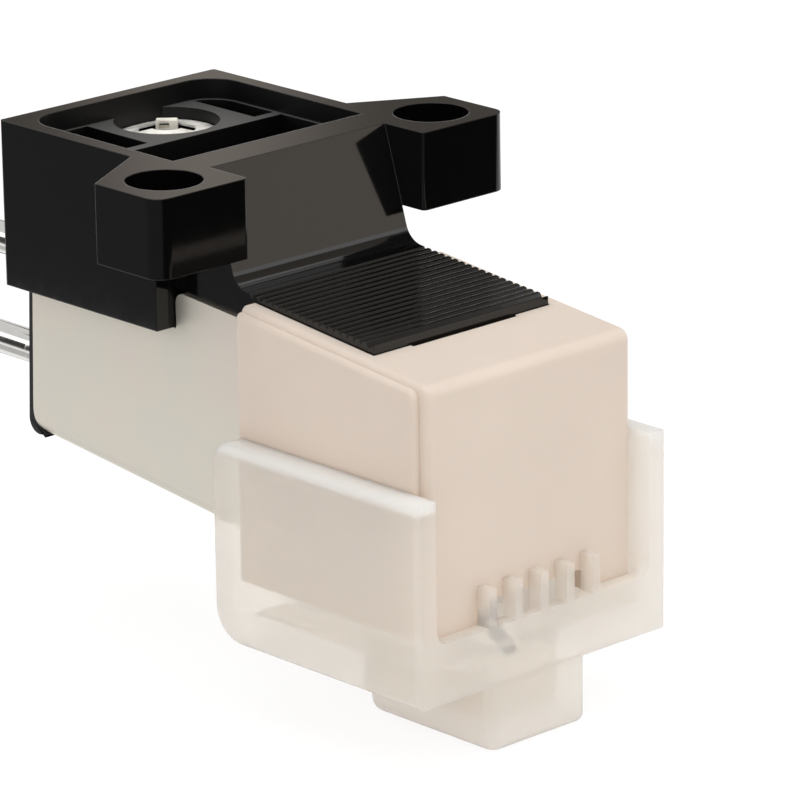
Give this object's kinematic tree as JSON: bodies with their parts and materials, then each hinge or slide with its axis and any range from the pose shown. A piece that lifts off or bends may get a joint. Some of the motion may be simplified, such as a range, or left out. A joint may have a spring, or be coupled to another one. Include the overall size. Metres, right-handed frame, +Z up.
{
  "type": "turntable stylus cartridge",
  "caption": "Moving-magnet record player cartridge: eared black mounting block, metal screening can, cream pull-off stylus holder, milky slide-on guard and rear terminal pins.",
  "frame": {"origin": "midway between the two mounting holes, on the top face that meets the headshell", "axes": "+Z up through the headshell, -Y towards the stylus end, +Y towards the terminal pins, +X to the right seen from the front"},
  "size_m": [0.0166, 0.0274, 0.0191],
  "materials": {
    "black_abs": "moulded black with a fine satin grain",
    "cream_abs": "moulded cream with a soft sheen",
    "milky_guard": "milky translucent moulding",
    "satin_alloy_sheet": "satin nickel-iron sheet",
    "plated_pin": "bright plated",
    "spring_steel": "bright rolled",
    "core_alloy": "plain nickel-iron",
    "bobbin_plastic": "plain moulded",
    "copper_wire": "enamelled copper wire",
    "sleeve_metal": "drawn tube",
    "damper_rubber": "soft rubber",
    "cantilever_black": "moulded, filled plastic",
    "magnet_metal": "sintered magnet",
    "diamond": "ground and polished"
  },
  "bodies": {
    "cartridge": {"mounting_body": "black_abs", "screening_can": "satin_alloy_sheet", "rear_cap": "black_abs", "left_signal_pin": "plated_pin", "right_signal_pin": "plated_pin", "left_return_pin": "plated_pin", "right_return_pin": "plated_pin", "retaining_washer": "spring_steel", "earth_tab": "spring_steel", "left_core": "core_alloy", "right_core": "core_alloy", "rear_yoke": "core_alloy", "left_bobbin": "bobbin_plastic", "right_bobbin": "bobbin_plastic", "left_coil": "copper_wire", "right_coil": "copper_wire"},
    "stylus": {"stylus_holder": "cream_abs", "pivot_sleeve": "sleeve_metal"},
    "suspension": {"damper": "damper_rubber"},
    "cantilever_arm": {"cantilever": "cantilever_black", "left_magnet": "magnet_metal", "right_magnet": "magnet_metal", "stylus_tip": "diamond"},
    "guard": {"stylus_guard": "milky_guard"}
  },
  "joints": [
    {"name": "stylus_pull", "type": "slide", "parent": "cartridge", "child": "stylus", "axis": [0, -0.9963, -0.0854], "range_m": [0, 0.009]},
    {"name": "guard_slide", "type": "slide", "parent": "stylus", "child": "guard", "axis": [0, -1, 0], "range_m": [0, 0.011]},
    {"name": "cantilever_lateral", "type": "hinge", "parent": "stylus", "child": "suspension", "pos_m": [0, -0.0048, -0.0122], "axis": [0, -0.5877, 0.8091], "range_deg": [-2.5, 2.5], "stiffness_Nm_per_rad": 0.0043},
    {"name": "cantilever_vertical", "type": "hinge", "parent": "suspension", "child": "cantilever_arm", "pos_m": [0, -0.0048, -0.0122], "axis": [1, 0, 0], "range_deg": [-2.5, 2.5], "stiffness_Nm_per_rad": 0.0043}
  ]
}
